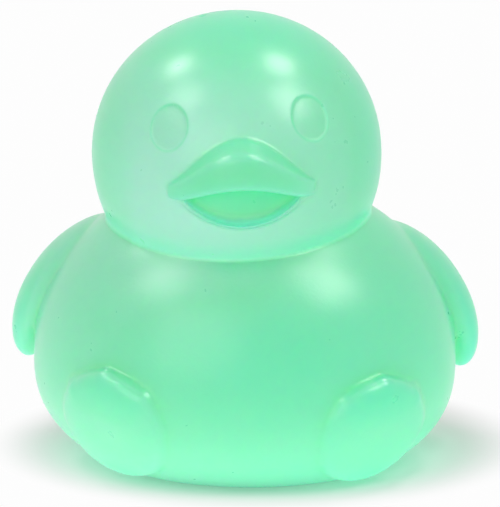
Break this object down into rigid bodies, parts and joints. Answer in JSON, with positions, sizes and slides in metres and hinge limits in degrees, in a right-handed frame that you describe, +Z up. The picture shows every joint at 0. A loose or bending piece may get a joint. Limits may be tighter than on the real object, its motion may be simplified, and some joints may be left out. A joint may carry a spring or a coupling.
{
  "type": "squishy duck",
  "caption": "Soft translucent rubber toy duck that sits upright on a flat base, with a ball head, open bill, folded wings and plump round-toed feet in relief.",
  "frame": {"origin": "on the table under the middle of the duck's box", "axes": "+Z up, -Y the way the duck faces, +X across it to the right of the picture"},
  "size_m": [0.065, 0.0557, 0.0627],
  "materials": {
    "soft_rubber": "smooth translucent mint-green soft rubber with a soft satin gloss"
  },
  "bodies": {
    "root": {"duck": "soft_rubber"}
  },
  "joints": []
}
